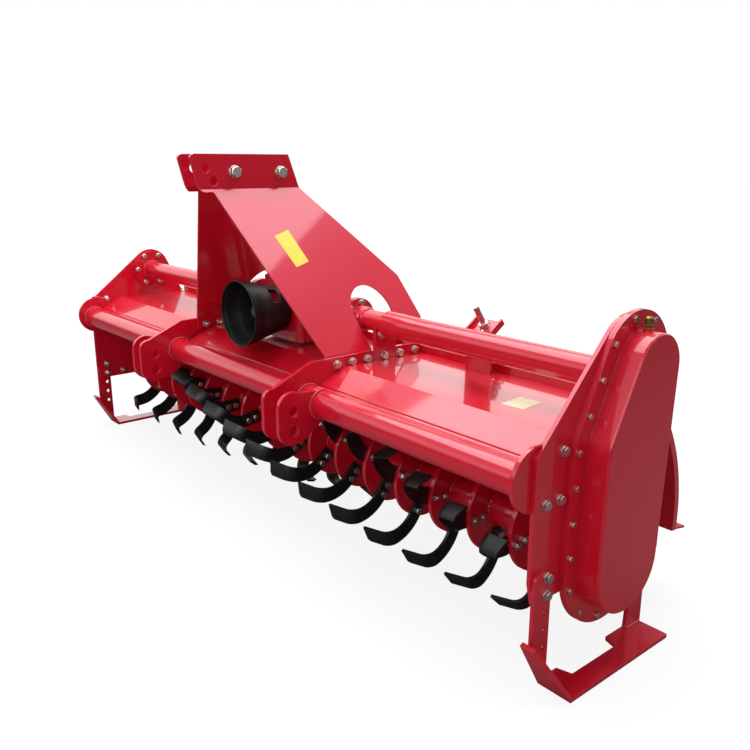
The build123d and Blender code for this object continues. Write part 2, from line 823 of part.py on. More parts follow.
save(Pos(-2 * plate_out - leg_t, 0, 0) * skid.part, "skid_left")

# ---------------------------------------------------------------- rotor
flange_x = [(i - (flange_count - 1) / 2) * flange_pitch for i in range(flange_count)]
with BuildPart() as rotor_tube:
    with BuildSketch(Plane.YZ.offset(-(plate_in - rotor_end_gap))):
        with Locations((rotor_y, rotor_z)):
            Circle(rotor_tube_r)
    extrude(amount=2 * (plate_in - rotor_end_gap))
    with BuildSketch(Plane.YZ.offset(-(plate_out - 1))):
        with Locations((rotor_y, rotor_z)):
            Circle(stub_r)
    extrude(amount=2 * (plate_out - 1))
    for x in flange_x:
        with BuildSketch(Plane.YZ.offset(x - rotor_flange_t / 2)):
            with Locations((rotor_y, rotor_z)):
                Circle(rotor_flange_r)
        extrude(amount=rotor_flange_t)
save(rotor_tube.part, "rotor_tube")

with BuildPart() as tine:
    with BuildSketch(Plane.XZ):
        with BuildLine():
            Polyline(
                (0, tine_root),
                (tine_t, tine_root),
                (tine_t, tine_r - tine_bend_r),
                (tine_bend_r, tine_r - tine_t),
                (tine_wing, tine_r - tine_t),
                (tine_wing, tine_r),
                (tine_bend_r - 4, tine_r),
                (0, tine_r - tine_bend_r),
                close=True,
            )
        make_face()
    revolve(axis=Axis.X)
    with BuildSketch(Plane.YZ):
        with BuildLine():
            Polyline((-22, tine_root - 10), (22, tine_root - 10), (22, 112))
            ThreePointArc((22, 112), (52, 164), (118, 181))
            Line((118, 181), (132, 196))
            ThreePointArc((132, 196), (60, 232), (8, 235))
            ThreePointArc((8, 235), (-22, 160), (-22, tine_root - 10))
        make_face()
    extrude(amount=tine_wing, mode=Mode.INTERSECT)

for side, name in ((1, "tines_right_hand"), (-1, "tines_left_hand")):
    blade = tine.part if side > 0 else mirror(tine.part, about=Plane.YZ)
    places = []
    for i, x in enumerate(flange_x):
        for k in range(tines_per_flange // 2):
            turn = i * helix_step + k * 720 / tines_per_flange + (0 if side > 0 else 360 / tines_per_flange)
            places.append(Location((x + side * rotor_flange_t / 2, rotor_y, rotor_z), (turn, 0, 0)))
    with BuildPart() as tines:
        with Locations(*places):
            add(blade)
    save(tines.part, name)
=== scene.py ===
import bpy
import json
import numpy as np
from math import cos, pi, radians, sin
from mathutils import Matrix, Vector


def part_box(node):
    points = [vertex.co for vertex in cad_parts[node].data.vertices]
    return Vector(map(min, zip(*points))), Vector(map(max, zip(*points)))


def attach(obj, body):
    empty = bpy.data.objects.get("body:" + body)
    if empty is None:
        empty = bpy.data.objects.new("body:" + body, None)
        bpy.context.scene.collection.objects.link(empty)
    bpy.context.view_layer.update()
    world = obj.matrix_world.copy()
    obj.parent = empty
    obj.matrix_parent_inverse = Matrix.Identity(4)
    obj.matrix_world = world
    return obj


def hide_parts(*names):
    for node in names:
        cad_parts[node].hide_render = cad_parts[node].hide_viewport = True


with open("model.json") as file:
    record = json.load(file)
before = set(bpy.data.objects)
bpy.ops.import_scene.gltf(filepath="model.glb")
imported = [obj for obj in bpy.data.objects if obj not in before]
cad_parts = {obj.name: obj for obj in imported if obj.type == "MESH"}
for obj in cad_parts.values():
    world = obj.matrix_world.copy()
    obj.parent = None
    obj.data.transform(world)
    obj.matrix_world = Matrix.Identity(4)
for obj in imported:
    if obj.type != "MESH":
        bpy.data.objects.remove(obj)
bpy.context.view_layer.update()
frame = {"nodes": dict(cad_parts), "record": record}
nodes = frame["nodes"]
print("frame loaded:", len(nodes), "nodes")


def linear(hexColour):
    # sRGB hex to linear light: c/12.92 below 0.04045, else ((c+0.055)/1.055)^2.4
    part = [int(hexColour[i:i + 2], 16) / 255 for i in (1, 3, 5)]
    return [c / 12.92 if c <= 0.04045 else ((c + 0.055) / 1.055) ** 2.4 for c in part] + [1.0]


def addNode(tree, kind, settings=None, inputs=None):
    # one node, its settings by name, its inputs by name or number: a value, or a socket to link
    node = tree.nodes.new(kind)
    for name, value in (settings or {}).items():
        setattr(node, name, value)
    for name, value in (inputs or {}).items():
        socket = node.inputs[name]
        if isinstance(value, bpy.types.NodeSocket):
            tree.links.new(value, socket)
        else:
            socket.default_value = value
    return node


def spread(tree, factor, low, high, start=0.3, stop=0.7):
    # a pattern's value from start to stop turned into low to high
    ends = {"Value": factor, 1: start, 2: stop, 3: low, 4: high}
    return addNode(tree, "ShaderNodeMapRange", {}, ends).outputs[0]


def tones(tree, factor, first, second):
    # two sRGB colours mixed by a factor
    colours = {0: factor, 6: linear(first), 7: linear(second)}
    return addNode(tree, "ShaderNodeMix", {"data_type": "RGBA"}, colours).outputs[2]


def grains(tree, place, millimetres, detail=2.0, stretch=(1, 1, 1)):
    # smooth noise whose lumps are about so many millimetres across, longer along an axis stretched below 1
    at = addNode(tree, "ShaderNodeMapping", {}, {"Vector": place, "Scale": stretch}).outputs[0]
    noise = {"Vector": at, "Scale": 1000 / millimetres, "Detail": detail}
    return addNode(tree, "ShaderNodeTexNoise", {}, noise).outputs["Fac"]


def newMaterial(name):
    material = bpy.data.materials.new(name)
    material.use_nodes = True
    tree = material.node_tree
    tree.nodes.clear()
    output = addNode(tree, "ShaderNodeOutputMaterial")
    shader = addNode(tree, "ShaderNodeBsdfPrincipled")
    tree.links.new(shader.outputs["BSDF"], output.inputs["Surface"])
    return material, tree, shader, addNode(tree, "ShaderNodeTexCoord").outputs["Object"]


def softEdge(tree, millimetres):
    # a normal that rounds each edge of the mesh by so many millimetres
    edge = addNode(tree, "ShaderNodeBevel", {"samples": 4}, {"Radius": millimetres / 1000})
    return edge.outputs["Normal"]


def roughened(tree, height, strength, distanceMm, normal):
    # a pattern's value as a height that tips the normal
    relief = {"Strength": strength, "Distance": distanceMm / 1000, "Height": height, "Normal": normal}
    return addNode(tree, "ShaderNodeBump", {}, relief).outputs["Normal"]


enamel = {"colour": "#D00C26", "deep": "#C60A22", "rough": 0.34, "underGloss": 0.5, "glossTint": "#FFB0DC",
          "coat": 0.85, "coatRough": 0.05, "coatIor": 1.55, "paintIor": 1.5,
          "cloudMm": 240, "peelMm": 5, "peelDepthMm": 0.5, "peelStrength": 0.06, "edgeMm": 1.6}


def sprayedEnamel(name, look):
    # two-pack enamel sprayed on welded plate: a hard wet gloss over red, its shine broken by a faint
    # orange-skin ripple, its colour drifting a little from thin to thick coats, its edges softened
    material, tree, shader, place = newMaterial(name)
    cloud = grains(tree, place, look["cloudMm"])
    tree.links.new(tones(tree, cloud, look["deep"], look["colour"]), shader.inputs["Base Color"])
    ripple = grains(tree, place, look["peelMm"], 1.0)
    peel = roughened(tree, ripple, look["peelStrength"], look["peelDepthMm"], softEdge(tree, look["edgeMm"]))
    tree.links.new(peel, shader.inputs["Normal"])
    tree.links.new(peel, shader.inputs["Coat Normal"])
    haze = spread(tree, cloud, look["rough"] - 0.03, look["rough"] + 0.04)
    tree.links.new(haze, shader.inputs["Roughness"])
    shader.inputs["IOR"].default_value = look["paintIor"]
    shader.inputs["Specular IOR Level"].default_value = look["underGloss"]
    shader.inputs["Specular Tint"].default_value = linear(look["glossTint"])
    shader.inputs["Coat Weight"].default_value = look["coat"]
    shader.inputs["Coat IOR"].default_value = look["coatIor"]
    shader.inputs["Coat Roughness"].default_value = look["coatRough"]
    return material


grit = {"smoother": 0.07, "rougher": 0.08, "strength": 0.12, "depthMm": 0.3}


def worked(name, tint, dark, rough, grainMm, metal=1.0, stretch=(1, 1, 1), edgeMm=0.6):
    # metal or plastic with a fine grain that breaks the shine, and edges softened by tumbling or moulding
    material, tree, shader, place = newMaterial(name)
    grain = grains(tree, place, grainMm, 4.0, stretch)
    tree.links.new(tones(tree, spread(tree, grain, 0, 1), dark, tint), shader.inputs["Base Color"])
    haze = spread(tree, grain, rough - grit["smoother"], rough + grit["rougher"])
    tree.links.new(haze, shader.inputs["Roughness"])
    relief = roughened(tree, grain, grit["strength"], grit["depthMm"], softEdge(tree, edgeMm))
    tree.links.new(relief, shader.inputs["Normal"])
    shader.inputs["Metallic"].default_value = metal
    return material


redEnamel = sprayedEnamel("sprayedRedEnamel", enamel)
tineBlack = worked("dippedBlackBoronSteel", "#1B1B1E", "#101012", 0.36, 9, metal=0.0, edgeMm=1.2)
zincPlate = worked("brightZincPlate", "#DEDDD8", "#BDBCB6", 0.30, 3)
turnedSteel = worked("turnedShaftSteel", "#C9C7C2", "#9C9A95", 0.26, 2, stretch=(1, 0.1, 1))
springWire = worked("oiledSpringWire", "#6A6A70", "#3E3E43", 0.32, 2)
yellowZinc = worked("yellowPassivatedZinc", "#A39A58", "#756E3C", 0.36, 3)
guardPlastic = worked("mouldedBlackPolyethylene", "#111113", "#0B0B0D", 0.46, 1.4, metal=0.0)
yellowVinyl = worked("yellowVinylSheet", "#F4E04C", "#EFD93E", 0.28, 30, metal=0.0, edgeMm=0.3)
paleVinyl = worked("paleVinylSheet", "#F4EDBE", "#EFE7B4", 0.28, 30, metal=0.0, edgeMm=0.3)

finishes = {"red_paint": redEnamel, "black_tine_steel": tineBlack, "spring_steel": springWire,
            "guard_plastic": guardPlastic, "bare_steel": turnedSteel, "breather_brass": yellowZinc,
            "zinc_steel": zincPlate}
slotOf = {part["node"]: part["material_slot"] for part in frame["record"]["subparts"]}
for name, node in nodes.items():
    for slot in node.material_slots:
        slot.link = "OBJECT"
        slot.material = finishes[slotOf[name]]
print("materials on the frame")


def loft(rings):
    # loops of points in rows; each face joins two neighbours of one loop to the same two of the next,
    # and the first and last loops are closed by a face each
    rows, count = rings.shape[:2]
    grid = np.arange(rows * count).reshape(rows, count)
    turned = np.roll(grid, -1, 1)
    faces = np.stack([grid[:-1], turned[:-1], turned[1:], grid[1:]], -1).reshape(-1, 4).tolist()
    faces += [grid[0][::-1].tolist(), grid[-1].tolist()]
    return rings.reshape(-1, 3), faces


def lathe(profile, count=24, corners=0):
    # profile of (radius, height) turned about Z; with corners, the radius follows a regular polygon's side
    radius, height = np.array(profile, float).T
    turn = np.arange(count) * 2 * pi / count
    side = np.ones(count)
    if corners:
        step = 2 * pi / corners
        side = cos(step / 2) / np.cos((turn % step) - step / 2)
    ring = np.stack([np.cos(turn) * side, np.sin(turn) * side, np.zeros(count)], -1)
    return loft(radius[:, None, None] * ring + height[:, None, None] * np.array([0, 0, 1.0]))


def axesAcross(path, lean):
    # at each point of a path: two axes square to its direction, the second nearest to lean
    ahead = np.gradient(path, axis=0)
    ahead /= np.linalg.norm(ahead, axis=1, keepdims=True)
    side = np.cross(ahead, lean)
    side /= np.linalg.norm(side, axis=1, keepdims=True)
    return side, np.cross(side, ahead)


def sweep(path, outline, lean, swell=None):
    # an outline of (side, up) carried along a path, its size times swell at each point
    path, outline = np.array(path, float), np.array(outline, float)
    side, up = axesAcross(path, np.broadcast_to(np.array(lean, float), path.shape))
    size = np.ones(len(path)) if swell is None else swell
    sized = outline[None] * size[:, None, None]
    return loft(path[:, None] + sized[..., :1] * side[:, None] + sized[..., 1:] * up[:, None])


def onCircle(centre, radius, turn):
    # centre + radius (cos t, sin t) for each angle t
    return np.stack([centre[0] + radius * np.cos(turn), centre[1] + radius * np.sin(turn)], -1)


def ringOf(centre, radius, count, start=0.0):
    # evenly spaced points round a centre, the first at start degrees
    return onCircle(centre, radius, np.radians(start) + np.arange(count) * 2 * pi / count)


def copiedFaces(faces, pointCount, copies):
    # the faces of each copy of a shape, every copy's points numbered after the one before
    return [[i + copy * pointCount for i in face] for copy in range(copies) for face in faces]


def placed(shape, spots, facing, spins=0.0):
    # copies of a shape at each spot, its Z turned to facing and spun about it
    points, faces = shape
    spots = np.atleast_2d(np.array(spots, float))
    up = np.broadcast_to(np.array(facing, float), spots.shape)
    up = up / np.linalg.norm(up, axis=1, keepdims=True)
    lean = np.where(np.abs(up[:, 2:]) < 0.9, [[0, 0, 1.0]], [[0, 1.0, 0]])
    side = np.cross(lean, up)
    side /= np.linalg.norm(side, axis=1, keepdims=True)
    other = np.cross(up, side)
    spin = np.broadcast_to(spins, len(spots))[:, None]
    first = side * np.cos(spin) + other * np.sin(spin)
    second = other * np.cos(spin) - side * np.sin(spin)
    basis = np.stack([first, second, up], 1)
    moved = np.einsum("pk,mkc->mpc", points, basis) + spots[:, None]
    return moved.reshape(-1, 3), copiedFaces(faces, len(points), len(spots))


def joined(shapes):
    # several shapes as one
    points, faces, start = [], [], 0
    for shapePoints, shapeFaces in shapes:
        points.append(shapePoints)
        faces += [[i + start for i in face] for face in shapeFaces]
        start += len(shapePoints)
    return np.concatenate(points), faces


def makePiece(name, shape, material, body, sharp):
    # a shape as one object at the origin, smooth but for edges sharper than so many degrees
    points, faces = shape
    mesh = bpy.data.meshes.new(name)
    mesh.from_pydata(points.tolist(), [], faces)
    mesh.polygons.foreach_set("use_smooth", np.ones(len(faces), bool))
    mesh.set_sharp_from_angle(angle=radians(sharp))
    mesh.materials.append(material)
    piece = bpy.data.objects.new(name, mesh)
    bpy.context.scene.collection.objects.link(piece)
    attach(piece, body)
    return piece


def hexHead(flats, height):
    # six-sided head, its corners turned off round the top
    corner = flats / 2 / cos(pi / 6)
    head = lathe([(corner, 0), (corner, height * 0.84)], 12, 6)[0].reshape(2, 12, 3)
    top = lathe([(flats * 0.47, height)], 12)[0].reshape(1, 12, 3)
    return loft(np.concatenate([head, top]))


def washer(radius, thick):
    # flat ring seen as a disc under its head, both rims eased
    profile = [(radius * 0.97, 0), (radius, thick * 0.3), (radius, thick * 0.75), (radius * 0.96, thick)]
    return lathe(profile, 20)


def threadEnd(radius, length, pitch=0.0022):
    # end of a bolt: a cylinder with its thread as close ridges, and a chamfer
    steps = 2 * max(2, int(length / pitch))
    profile = [(radius * (1.0 if i % 2 else 0.9), length * i / steps) for i in range(steps)]
    return lathe(profile + [(radius * 0.75, length)], 12)


def bolt(flats, headHeight, washerRadius=0.0, washerThick=0.0, end=0.0):
    # washer, head or nut, and a thread end standing out of a nut
    stack = []
    if washerRadius:
        stack.append(washer(washerRadius, washerThick))
    stack.append(placed(hexHead(flats, headHeight), [(0, 0, washerThick)], (0, 0, 1)))
    if end:
        stack.append(placed(threadEnd(flats * 0.31, end), [(0, 0, washerThick + headHeight)], (0, 0, 1)))
    return joined(stack)


def lengthsAlong(path):
    # the distance from the start to each point of a path
    return np.concatenate([[0], np.cumsum(np.linalg.norm(np.diff(path, axis=0), axis=1))])


def bead(path, radius, lean, ripple=0.0042):
    # weld bead: a round section along a seam, its size at s along it 1 + 0.12 sin(2 pi s / ripple)
    # + 0.05 sin(91 s), and smaller at both ends
    path = np.array(path, float)
    run = lengthsAlong(path)
    count = min(900, max(8, int(run[-1] / (ripple / 4))))
    at = np.linspace(0, run[-1], count)
    line = np.stack([np.interp(at, run, path[:, k]) for k in range(3)], -1)
    swell = 1 + 0.12 * np.sin(at * 2 * pi / ripple) + 0.05 * np.sin(at * 91)
    swell[[0, -1]] = 0.55
    return sweep(line, ringOf((0, 0), radius, 6), lean, swell)


def spotsAt(x, places):
    # (y, z) places on a plane of constant x
    return [(x, y, z) for y, z in places]


def arcPath(centre, radius, start, stop, x, count=48):
    # part of a circle in a plane of constant x, from one angle to another in degrees from +Y towards +Z
    turn = np.radians(np.linspace(start, stop, count))
    return spotsAt(x, onCircle(centre, radius, turn))


def roundHull(wheels, grow, count, start=0.0):
    # evenly spaced points round the tight loop about circles of (y, z, radius), each grown by so much:
    # in each direction t the circle that reaches farthest, y cos t + z sin t + r, gives the loop's point
    turn = np.linspace(0, 2 * pi, 721)
    reach = np.stack([y * np.cos(turn) + z * np.sin(turn) + r + grow for y, z, r in wheels])
    y, z, r = np.array(wheels, float)[reach.argmax(0)].T
    loop = onCircle((y, z), r + grow, turn)
    run = lengthsAlong(loop)
    at = (np.arange(count) + start) / count * run[-1]
    return np.stack([np.interp(at, run, loop[:, k]) for k in range(2)], -1)


def faceX(node, side):
    # the outermost x of a CAD node on one side, in metres
    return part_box(node)[1 if side > 0 else 0][0]


# in metres: faces are x, places (y, z), the mast's top and foot (x, z); the necks' and the hub's flanges
# are 12 mm thick
plate = {"inner": -faceX("side_plate_left", 1), "outer": -faceX("side_plate_left", -1), "driveZ": 0.633,
         "endFlange": 0.010, "leg": 0.010}
longPlate = {"inner": faceX("hitch_plate_long_right", -1), "outer": faceX("hitch_plate_long_right", 1)}
shortPlate = {"inner": faceX("hitch_plate_short_right", -1), "outer": faceX("hitch_plate_short_right", 1)}
mast = {"top": (0.041, 0.998), "foot": (0.370, 0.560), "footInner": 0.360, "headFace": 0.041}
neck = {"face": faceX("drive_neck_right", -1) + 0.012, "radius": 0.029}
gearCase = {"lip": faceX("gear_case_back", 1) + 0.006, "lipWidth": 0.027,
            "wheels": [(0.030, 0.660, 0.075), (-0.016, 0.490, 0.111), (-0.023, 0.234, 0.109)]}
hub = {"axis": (-0.024, 0.243), "flange": plate["outer"] + 0.012, "boltCircle": 0.080}
print("faces:", plate, longPlate, shortPlate, neck, gearCase["lip"], hub)


def through(places, outside, inside, head, nut):
    # bolt heads on one face and nuts on the other, each facing away from the plate along X and
    # turned as its spanner left it
    way = 1.0 if outside > inside else -1.0
    turns = 0.4 + np.arange(len(places)) * 1.1
    return [placed(head, spotsAt(outside, places), (way, 0, 0), turns),
            placed(nut, spotsAt(inside, places), (-way, 0, 0), turns)]


# across flats, height, washer's radius and thickness, thread past the nut
boltSizes = {"m20": (0.030, 0.0125, 0.0185, 0.003), "m20Nut": (0.030, 0.016, 0.0185, 0.003, 0.006),
             "m12": (0.019, 0.0075, 0.0120, 0.0022), "m12Nut": (0.019, 0.0105, 0.0120, 0.0022, 0.005),
             "m10": (0.016, 0.0065, 0.0100, 0.0018), "m8": (0.013, 0.0053)}
fastener = {name: bolt(*numbers) for name, numbers in boltSizes.items()}
boltRows = {"head": [(-0.259, 1.044), (-0.106, 1.042)],
            "foot": [(y, 0.538) for y in (-0.165, -0.112, -0.058, 0.003, 0.062, 0.120)],
            "tab": [(-0.007, 0.601)], "lobe": ringOf((0.0, 0.637), 0.062, 6),
            "plateRight": [(-0.185, 0.515), (-0.233, 0.412), (-0.188, 0.412)],
            "plateLeft": [(-0.205, 0.528), (-0.233, 0.412), (0.140, 0.525), (-0.160, 0.218)],
            "leg": [(-0.227, 0.255), (-0.227, 0.215), (0.162, 0.252), (0.162, 0.214)],
            "neck": ringOf((0.0, plate["driveZ"]), 0.0440, 6, 20), "caseCount": 21}

m12Pair = (fastener["m12"], fastener["m12Nut"])
legFace = plate["outer"] + plate["leg"]
flangeFace = plate["inner"] - plate["endFlange"]
parts = through(boltRows["head"], mast["headFace"], -mast["headFace"], fastener["m20"], fastener["m20Nut"])
for side in (1, -1):
    hitchFace = side * longPlate["outer"]
    parts += through(boltRows["foot"], hitchFace, side * mast["footInner"], *m12Pair)
    parts.append(placed(fastener["m12"], spotsAt(hitchFace, boltRows["tab"]), (side, 0, 0), 0.3))
    parts.append(placed(fastener["m10"], spotsAt(side * flangeFace, boltRows["lobe"]), (-side, 0, 0), 0.2))
    parts.append(placed(fastener["m10"], spotsAt(side * neck["face"], boltRows["neck"]), (side, 0, 0), 0.5))
    parts += through(boltRows["leg"], side * legFace, side * plate["inner"], *m12Pair)
parts.append(placed(fastener["m12Nut"], spotsAt(-plate["outer"], boltRows["lobe"]), (-1, 0, 0), 0.2))
parts += through(boltRows["plateRight"], plate["outer"], plate["inner"], *m12Pair)
parts += through(boltRows["plateLeft"], -plate["outer"], -plate["inner"], *m12Pair)
lip = roundHull(gearCase["wheels"], gearCase["lipWidth"], boltRows["caseCount"], 0.4)
parts.append(placed(fastener["m8"], spotsAt(gearCase["lip"], lip), (1, 0, 0), np.arange(len(lip)) * 0.8))
hubRing = ringOf(hub["axis"], hub["boltCircle"], 6, 30)
parts.append(placed(fastener["m12"], spotsAt(-hub["flange"], hubRing), (-1, 0, 0), 0.6))
frameBolts = makePiece("zincPlatedBolts", joined(parts), zincPlate, "frame", 30)
print("frame bolts:", len(frameBolts.data.polygons), "faces")

rotor = {"axis": hub["axis"], "tube": 0.044, "tubeEnd": plate["inner"] - 0.012, "stub": 0.0298,
         "stubEnd": faceX("rotor_tube", 1), "discs": 16, "pitch": 0.1315, "disc": 0.112, "half": 0.006,
         "firstDegrees": 133.0, "stepDegrees": -9.0, "otherHandDegrees": 80.0, "blades": 4,
         "boltRadii": (0.068, 0.096), "ease": 0.001}
discX = (np.arange(rotor["discs"]) - (rotor["discs"] - 1) / 2) * rotor["pitch"]


def rotorShaft(look):
    # tube, stubs and discs, each an outline of (radius, x) turned about the rotor's axis
    ease, half, rim, core, stub = look["ease"], look["half"], look["disc"], look["tube"], look["stub"]
    end, far = look["tubeEnd"], look["stubEnd"]
    disc = lathe([(core - ease, -half), (rim - ease, -half), (rim, ease - half), (rim, half - ease),
                  (rim - ease, half), (core - ease, half)], 72)
    tubeAndStubs = lathe([(stub - ease, -far), (stub, ease - far), (stub, -end), (core - ease, -end),
                          (core, ease - end), (core, end - ease), (core - ease, end), (stub, end),
                          (stub, far - ease), (stub - ease, far)], 64)
    y, z = look["axis"]
    return joined([placed(tubeAndStubs, [(0, y, z)], (1, 0, 0)),
                   placed(disc, [(x, y, z) for x in discX], (1, 0, 0))])


rotorBody = makePiece("rotorShaft", rotorShaft(rotor), redEnamel, "rotor", 40)
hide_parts("rotor_tube")

# curve and bend are radii, sweep and roll their degrees
blade = {"root": 0.050, "straight": 0.046, "curve": 0.100, "sweep": 54, "bend": 0.034, "roll": 78,
         "wing": 0.056, "width": 0.045, "thick": 0.008, "bevel": 0.011, "edge": 0.0015, "slant": 0.30,
         "flats": 0.018, "headHeight": 0.0075, "nutHeight": 0.0095, "threadEnd": 0.004}


def bladeShape(look):
    # a bar carried along a path: with a(s) its turn in the disc's plane and b(s) its roll out of that
    # plane, the path runs along cos b (sin a, cos a) in (ahead, out) and sin b sideways;
    # the points come back as (side, ahead, out)
    lengths = [look["straight"], look["curve"] * radians(look["sweep"]), look["bend"] * radians(look["roll"]),
               look["wing"]]
    marks = np.concatenate([[0], np.cumsum(lengths)])
    stretches = zip(marks[:-1], marks[1:], (2, 12, 9, 3))
    run = np.concatenate([np.linspace(*ends, endpoint=False) for ends in stretches] + [marks[-1:]])
    fine = np.linspace(0, marks[-1], 1200)
    turn = np.radians(np.interp(fine, marks[1:3], (0, look["sweep"])))
    roll = np.radians(np.interp(fine, marks[2:4], (0, look["roll"])))
    way = np.stack([np.sin(roll), np.cos(roll) * np.sin(turn), np.cos(roll) * np.cos(turn)], -1)
    across = np.stack([0 * turn, np.cos(turn), -np.sin(turn)], -1)
    face = np.stack([np.cos(roll), -np.sin(roll) * np.sin(turn), -np.sin(roll) * np.cos(turn)], -1)
    path = np.cumsum(way, axis=0) * fine[1] + [look["thick"] / 2, 0, look["root"]]
    at = np.searchsorted(fine, run).clip(0, len(fine) - 1)
    half, depth = look["width"] / 2, look["thick"] / 2
    outline = np.array([(-half, depth), (-half, depth - look["edge"]), (-half + look["bevel"], -depth),
                        (half, -depth), (half, depth)])
    rings = path[at][:, None] + outline[None, :, :1] * across[at][:, None]
    rings = rings + outline[None, :, 1:] * face[at][:, None]
    rings[-1] -= way[-1] * (half - outline[:, :1]) * look["slant"]
    return loft(rings)


def bladesOn(side, shape):
    # copies of the blade on every disc, seated on one face with its wing over the rim to the other side:
    # out is (-sin p, -cos p) in (y, z) and ahead (-cos p, sin p), p the blade's phase
    points, faces = shape
    if side > 0:
        faces = [face[::-1] for face in faces]
    perHand = rotor["blades"] // 2
    phase = rotor["firstDegrees"] + np.arange(rotor["discs"]) * rotor["stepDegrees"]
    phase = phase + (rotor["otherHandDegrees"] if side > 0 else 0)
    phase = np.radians((phase[:, None] + np.arange(perHand) * 180).ravel())
    outer = np.repeat(discX, perHand) - side * (rotor["half"] + blade["thick"])
    y, z = rotor["axis"]
    sideways, ahead, out = points.T
    moved = np.stack([outer[:, None] + side * sideways[None],
                      y - np.sin(phase)[:, None] * out - np.cos(phase)[:, None] * ahead,
                      z - np.cos(phase)[:, None] * out + np.sin(phase)[:, None] * ahead], -1)
    boltSpots = [np.stack([outer + side * depth, y - r * np.sin(phase), z - r * np.cos(phase)], -1)
                 for depth in (0, blade["thick"] + 2 * rotor["half"]) for r in rotor["boltRadii"]]
    return (moved.reshape(-1, 3), copiedFaces(faces, len(points), len(phase))), boltSpots


bladeHead = bolt(blade["flats"], blade["headHeight"])
bladeNut = bolt(blade["flats"], blade["nutHeight"], end=blade["threadEnd"])
oneBlade = bladeShape(blade)
reach = np.hypot(oneBlade[0][:, 1], oneBlade[0][:, 2]).max()
print("blade reach:", round(float(reach), 4), "side:", round(float(oneBlade[0][:, 0].max()), 4))
fasteners = []
for side, word in ((1, "right"), (-1, "left")):
    shape, places = bladesOn(side, oneBlade)
    piece = makePiece("blades_" + word + "_hand", shape, tineBlack, "rotor", 40)
    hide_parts("tines_" + word + "_hand")
    for number, spots in enumerate(places):
        head, way = (bladeHead, -side) if number < 2 else (bladeNut, side)
        fasteners.append(placed(head, spots, (way, 0, 0), np.arange(len(spots)) * 0.7))
tineBolts = makePiece("bladeBolts", joined(fasteners), zincPlate, "rotor", 30)
print("blades and their bolts:", len(tineBolts.data.polygons), "bolt faces")


def ringSeam(centre, tubeRadius, x, radius, start=0.0, stop=360.0):
    # bead in the corner between a tube and a plate across it, a point each 6 degrees
    count = int((stop - start) / 6) + 1
    return bead(arcPath(centre, tubeRadius + radius * 0.25, start, stop, x, count), radius, (1, 0, 0))


tube = {"axis": (-0.262, 0.460), "radius": 0.038, "disc": (-0.255, 0.468), "discRadius": 0.070,
        "topRadius": 0.034}
# bead radii, gaps and ripples; fold and crease are (y, z, radius), toe and heel (y, z) along a skid's foot
weld = {"plate": 0.0050, "disc": 0.0038, "neck": 0.0042, "gap": 0.0005, "runOut": 0.002, "foldEnd": 0.001,
        "fold": (-0.2375, 0.4875, 0.0046), "crease": (-0.2235, 0.4930, 0.0024), "foldRipple": 0.007,
        "skid": 0.0040, "skidStands": 0.001, "toe": [(-0.2640, 0.0900), (-0.2210, 0.0115), (-0.2120, 0.0105)],
        "heel": [(0.0855, 0.0105), (0.1380, 0.0105)],
        "onTube": 0.0452, "rotor": 0.0045, "rotorStands": 0.0008, "rotorRipple": 0.009}
drive = (0.0, plate["driveZ"])
inside, gap = plate["inner"], weld["gap"]
endSeam = inside - plate["endFlange"] - gap
seams = []
for side in (1, -1):
    seams += [ringSeam(tube["axis"], tube["radius"], side * endSeam, weld["plate"]),
              ringSeam(tube["disc"], tube["discRadius"], side * (inside - gap), weld["disc"], -98, 98),
              ringSeam(drive, tube["topRadius"], side * endSeam, weld["plate"]),
              ringSeam(drive, neck["radius"], side * (neck["face"] + gap), weld["neck"])]
    for hitch, start, stop in ((longPlate, 0.0, 360.0), (shortPlate, 86, 274)):
        seams += [ringSeam(tube["axis"], tube["radius"], side * x, weld["plate"], start, stop)
                  for x in (hitch["inner"] - gap, hitch["outer"] + gap)]
end = inside - plate["endFlange"] - weld["foldEnd"]
inner, outer = longPlate["inner"] - weld["runOut"], longPlate["outer"] + weld["runOut"]
for low, high in ((-end, -outer), (-inner, inner), (outer, end)):
    seams += [bead([(low, y, z), (high, y, z)], radius, (0, 0, 1), weld["foldRipple"])
              for y, z, radius in (weld["fold"], weld["crease"])]
for leg in (legFace, -plate["outer"]):
    seams += [bead(spotsAt(leg + weld["skidStands"], weld[part]), weld["skid"], (1, 0, 0))
              for part in ("toe", "heel")]
frameSeams = makePiece("weldSeams", joined(seams), redEnamel, "frame", 60)
beside = rotor["half"] + weld["rotorStands"]
rings = [bead(arcPath(rotor["axis"], weld["onTube"], 0, 360, x + side * beside), weld["rotor"], (1, 0, 0),
              weld["rotorRipple"]) for x in discX for side in (1, -1)]
rotorSeams = makePiece("rotorWelds", joined(rings), redEnamel, "rotor", 60)
print("seams:", len(frameSeams.data.polygons) + len(rotorSeams.data.polygons), "faces")

sleeve = {"start": 0.404, "stop": 0.540, "radius": 0.0370, "proud": 0.0003, "ease": 0.001,
          "collar": 0.036, "collarStop": 0.304, "step": 0.003, "stepEnds": (0.004, 0.014, 0.018)}


def neckRings(look):
    # the cross tube's end over the neck and the neck's stepped collar, outlines of (radius, x) turned
    # about the drive axis
    outer, face, ease = look["radius"], neck["face"], look["ease"]
    inner = neck["radius"] - ease
    tubeEnd = lathe([(inner, look["start"]), (outer - ease, look["start"]), (outer, look["start"] + ease),
                     (tube["topRadius"] + look["proud"], look["stop"]), (inner, look["stop"] + ease)], 48)
    wide, low, (first, second, third) = look["collar"], look["collar"] - look["step"], look["stepEnds"]
    stop = look["collarStop"]
    collar = lathe([(inner, face - ease), (wide, face - ease), (wide, stop), (low, stop + first),
                    (low, stop + second), (inner, stop + third)], 48)
    spot = [(0, 0, plate["driveZ"])]
    return joined([placed(shape, spot, (side, 0, 0)) for shape in (tubeEnd, collar) for side in (1, -1)])


